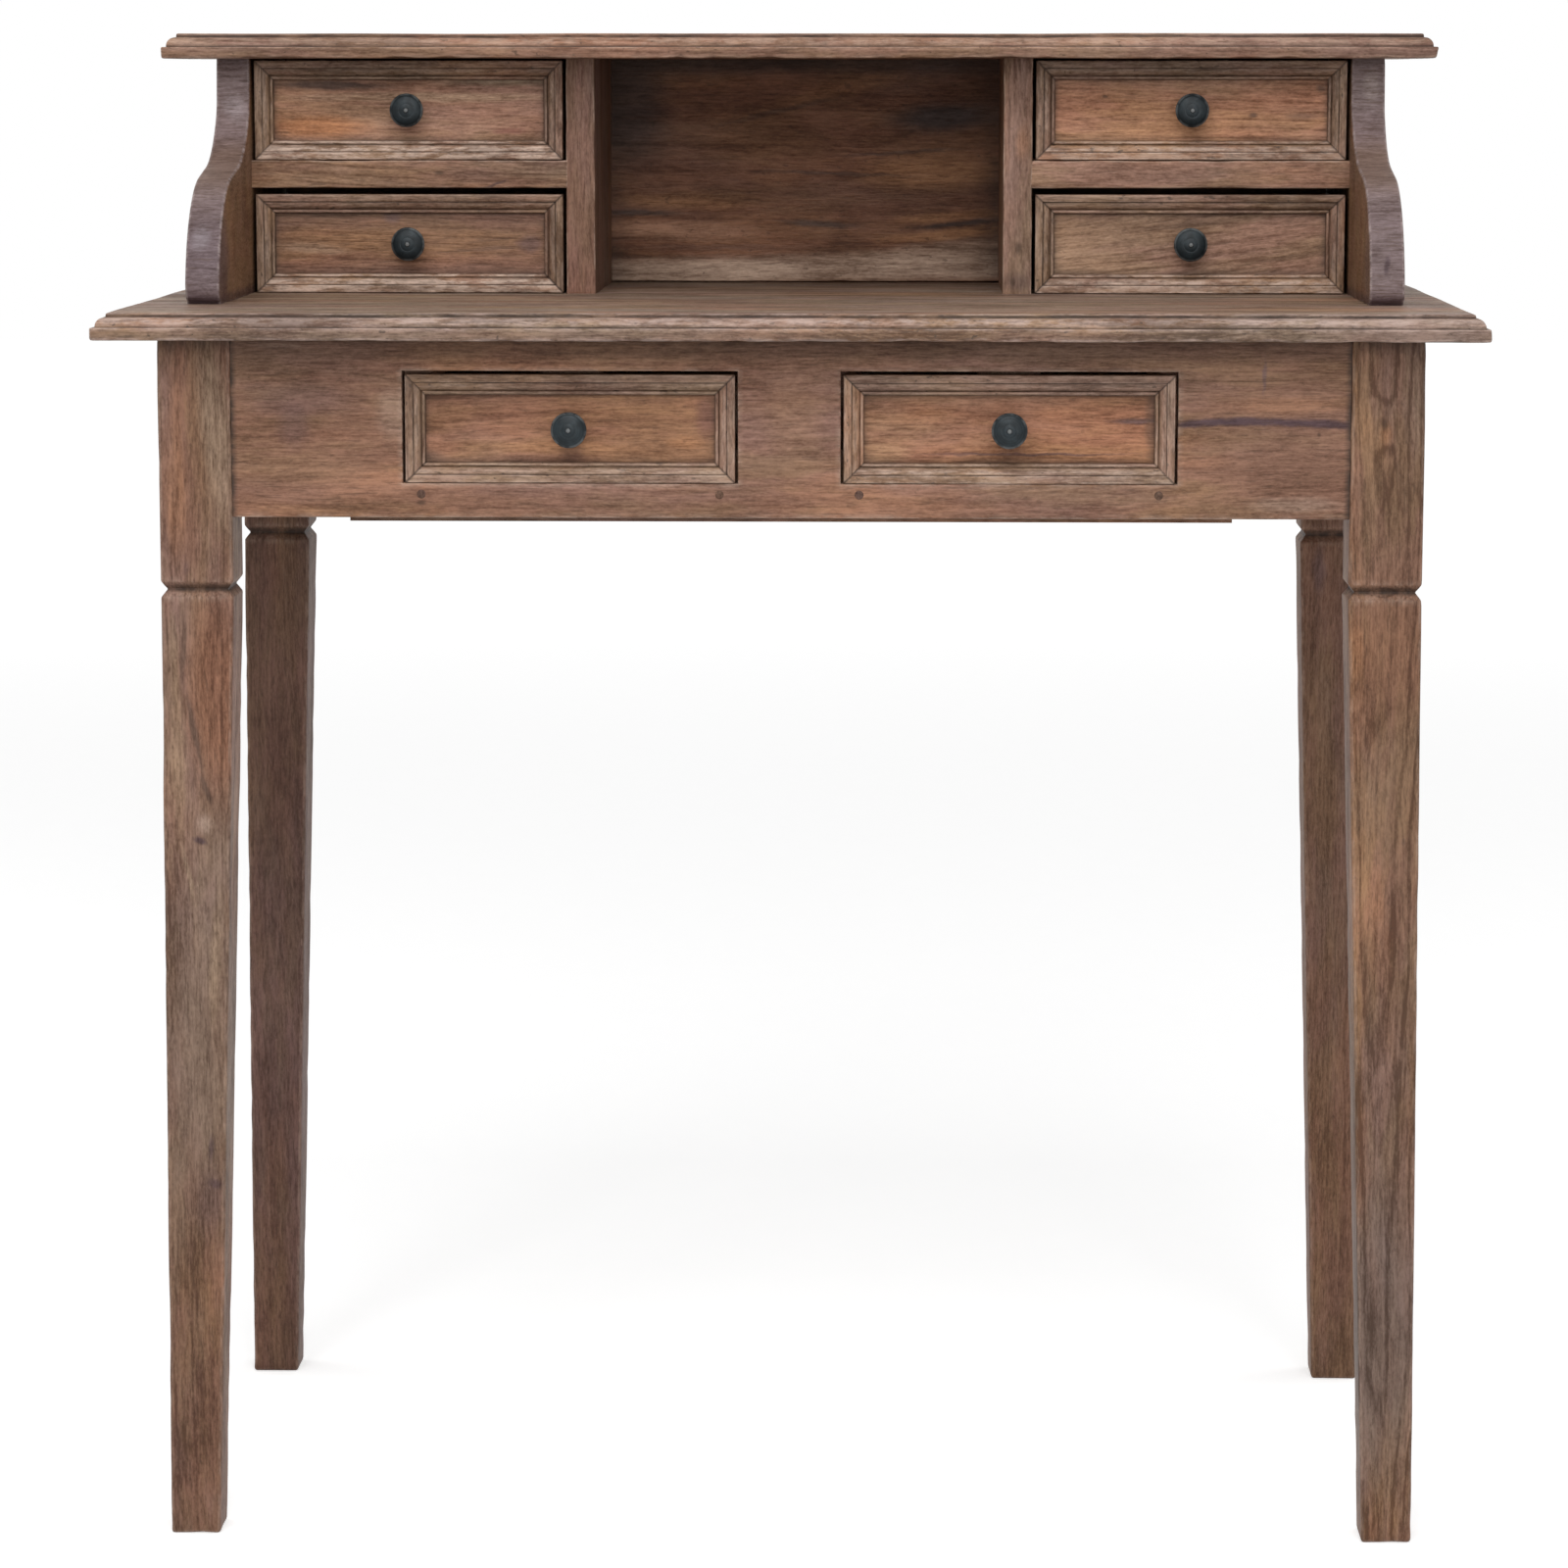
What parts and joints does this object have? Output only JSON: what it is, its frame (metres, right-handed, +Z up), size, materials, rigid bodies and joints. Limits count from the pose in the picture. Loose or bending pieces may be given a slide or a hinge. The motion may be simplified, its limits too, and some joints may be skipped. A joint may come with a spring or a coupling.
{
  "type": "writing desk with hutch",
  "caption": "Small wooden writing desk on tapered square legs, with drawers in the apron and a low hutch of drawers and an open bay under a shelf.",
  "frame": {"origin": "on the floor under the middle of the desk top, which is the bottom centre of the bounding box", "axes": "+Z up; the front, where the drawers open, faces -Y; +X to the right of a person at the desk"},
  "size_m": [0.88, 0.48, 0.98],
  "materials": {
    "top_wood": "waxed, worn",
    "leg_wood": "waxed, worn",
    "apron_wood": "waxed, worn",
    "hutch_wood": "waxed, worn",
    "back_panel_wood": "waxed",
    "drawer_front_wood": "waxed",
    "moulding_wood": "waxed, worn",
    "drawer_box_wood": "bare, sanded",
    "inner_wood": "bare, sawn",
    "peg_wood": "waxed",
    "knob_iron": "blackened, satin"
  },
  "bodies": {
    "carcass": {"apron_pegs": "peg_wood", "back_apron": "apron_wood", "desk_top": "top_wood", "drawer_bearers": "inner_wood", "drawer_guides": "inner_wood", "drawer_kickers": "inner_wood", "drawer_runners": "inner_wood", "front_apron": "apron_wood", "hutch_back_panel": "back_panel_wood", "joint_dowels": "inner_wood", "left_apron": "apron_wood", "left_bracket": "hutch_wood", "left_divider": "hutch_wood", "left_middle_shelf": "hutch_wood", "leg_back_left": "leg_wood", "leg_back_right": "leg_wood", "leg_front_left": "leg_wood", "leg_front_right": "leg_wood", "right_apron": "apron_wood", "right_bracket": "hutch_wood", "right_divider": "hutch_wood", "right_middle_shelf": "hutch_wood", "top_shelf": "top_wood"},
    "desk_drawer_left": {"desk_drawer_left_back": "drawer_box_wood", "desk_drawer_left_bottom": "drawer_box_wood", "desk_drawer_left_front": "drawer_front_wood", "desk_drawer_left_knob": "knob_iron", "desk_drawer_left_moulding": "moulding_wood", "desk_drawer_left_sides": "drawer_box_wood"},
    "desk_drawer_right": {"desk_drawer_right_back": "drawer_box_wood", "desk_drawer_right_bottom": "drawer_box_wood", "desk_drawer_right_front": "drawer_front_wood", "desk_drawer_right_knob": "knob_iron", "desk_drawer_right_moulding": "moulding_wood", "desk_drawer_right_sides": "drawer_box_wood"},
    "hutch_drawer_lower_left": {"hutch_drawer_lower_left_back": "drawer_box_wood", "hutch_drawer_lower_left_bottom": "drawer_box_wood", "hutch_drawer_lower_left_front": "drawer_front_wood", "hutch_drawer_lower_left_knob": "knob_iron", "hutch_drawer_lower_left_moulding": "moulding_wood", "hutch_drawer_lower_left_sides": "drawer_box_wood"},
    "hutch_drawer_lower_right": {"hutch_drawer_lower_right_back": "drawer_box_wood", "hutch_drawer_lower_right_bottom": "drawer_box_wood", "hutch_drawer_lower_right_front": "drawer_front_wood", "hutch_drawer_lower_right_knob": "knob_iron", "hutch_drawer_lower_right_moulding": "moulding_wood", "hutch_drawer_lower_right_sides": "drawer_box_wood"},
    "hutch_drawer_upper_left": {"hutch_drawer_upper_left_back": "drawer_box_wood", "hutch_drawer_upper_left_bottom": "drawer_box_wood", "hutch_drawer_upper_left_front": "drawer_front_wood", "hutch_drawer_upper_left_knob": "knob_iron", "hutch_drawer_upper_left_moulding": "moulding_wood", "hutch_drawer_upper_left_sides": "drawer_box_wood"},
    "hutch_drawer_upper_right": {"hutch_drawer_upper_right_back": "drawer_box_wood", "hutch_drawer_upper_right_bottom": "drawer_box_wood", "hutch_drawer_upper_right_front": "drawer_front_wood", "hutch_drawer_upper_right_knob": "knob_iron", "hutch_drawer_upper_right_moulding": "moulding_wood", "hutch_drawer_upper_right_sides": "drawer_box_wood"}
  },
  "joints": [
    {"name": "desk_drawer_left_slide", "type": "slide", "parent": "carcass", "child": "desk_drawer_left", "axis": [0, -1, 0], "range_m": [0, 0.26]},
    {"name": "desk_drawer_right_slide", "type": "slide", "parent": "carcass", "child": "desk_drawer_right", "axis": [0, -1, 0], "range_m": [0, 0.26]},
    {"name": "hutch_drawer_lower_left_slide", "type": "slide", "parent": "carcass", "child": "hutch_drawer_lower_left", "axis": [0, -1, 0], "range_m": [0, 0.13]},
    {"name": "hutch_drawer_lower_right_slide", "type": "slide", "parent": "carcass", "child": "hutch_drawer_lower_right", "axis": [0, -1, 0], "range_m": [0, 0.13]},
    {"name": "hutch_drawer_upper_left_slide", "type": "slide", "parent": "carcass", "child": "hutch_drawer_upper_left", "axis": [0, -1, 0], "range_m": [0, 0.13]},
    {"name": "hutch_drawer_upper_right_slide", "type": "slide", "parent": "carcass", "child": "hutch_drawer_upper_right", "axis": [0, -1, 0], "range_m": [0, 0.13]}
  ]
}
